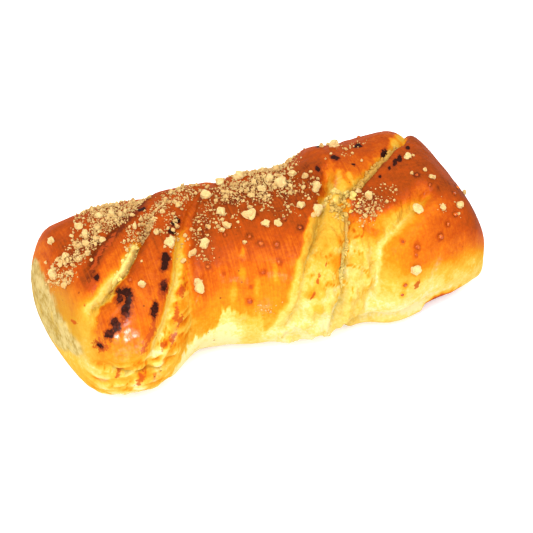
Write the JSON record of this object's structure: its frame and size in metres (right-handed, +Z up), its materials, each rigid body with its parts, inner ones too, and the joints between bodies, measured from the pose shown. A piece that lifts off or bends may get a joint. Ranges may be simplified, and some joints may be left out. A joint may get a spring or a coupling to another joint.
{
  "type": "sweet cheese bun",
  "caption": "Oblong twisted sweet bun: glazed brown crust in folded strands, soft cheese filling showing in the slits, crumble on top; rests on its flat underside.",
  "frame": {"origin": "centre of the bounding box's footprint, on the flat underside", "axes": "+X along the bun's length, towards the end with the tapered pillow; +Y from its front flank to its back; +Z up, out of the crust"},
  "size_m": [0.166, 0.0794, 0.0507],
  "materials": {
    "crust": "egg-washed baked crust, brown on top and pale yellow at the sides",
    "cheese": "soft baked curd cheese, moist and grainy"
  },
  "bodies": {
    "root": {"dough": "crust", "cheese_filling": "cheese"}
  },
  "joints": []
}
